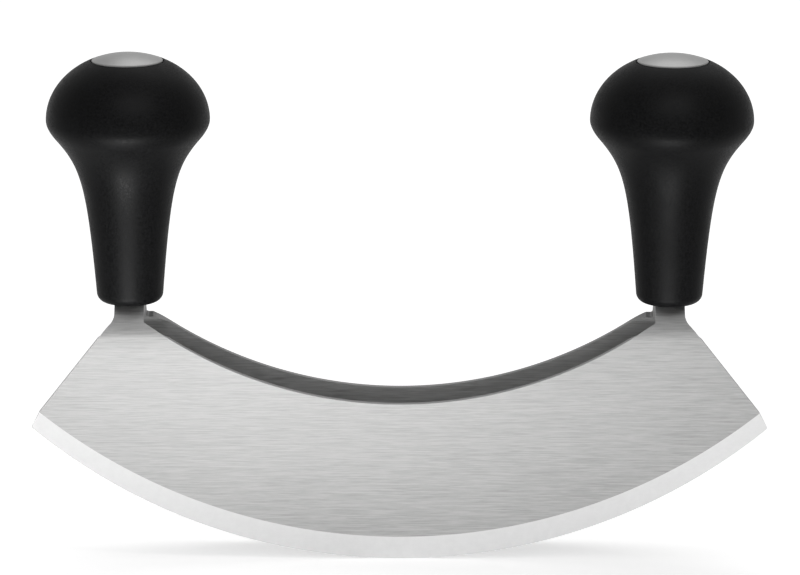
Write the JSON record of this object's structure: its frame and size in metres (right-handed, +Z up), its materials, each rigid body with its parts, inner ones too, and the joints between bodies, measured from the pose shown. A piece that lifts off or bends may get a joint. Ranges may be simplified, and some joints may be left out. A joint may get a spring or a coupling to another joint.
{
  "type": "mincing knife",
  "caption": "Rocking mincing knife: parallel crescent blades set side by side, joined by an upright knob grip at each end.",
  "frame": {"origin": "on the surface that the knife stands on, midway between the two cutting edges and under their lowest points", "axes": "+X along the blades, +Y from the front blade to the rear blade, +Z up towards the grips"},
  "size_m": [0.2296, 0.0508, 0.1592],
  "materials": {
    "blade_steel": "fine brush lines along the blade, with a smoother ground bevel above the edge",
    "grip_plastic": "black, moulded, fine matte grain",
    "cap_steel": "satin, domed",
    "fixing_steel": "plain machined steel, hidden inside the grips"
  },
  "bodies": {
    "root": {"front_blade": "blade_steel", "rear_blade": "blade_steel", "left_grip": "grip_plastic", "right_grip": "grip_plastic", "left_cap": "cap_steel", "right_cap": "cap_steel", "left_tie_stud": "fixing_steel", "right_tie_stud": "fixing_steel", "left_lower_rivet": "fixing_steel", "left_upper_rivet": "fixing_steel", "right_lower_rivet": "fixing_steel", "right_upper_rivet": "fixing_steel", "left_washer": "fixing_steel", "right_washer": "fixing_steel", "left_nut": "fixing_steel", "right_nut": "fixing_steel"}
  },
  "joints": []
}
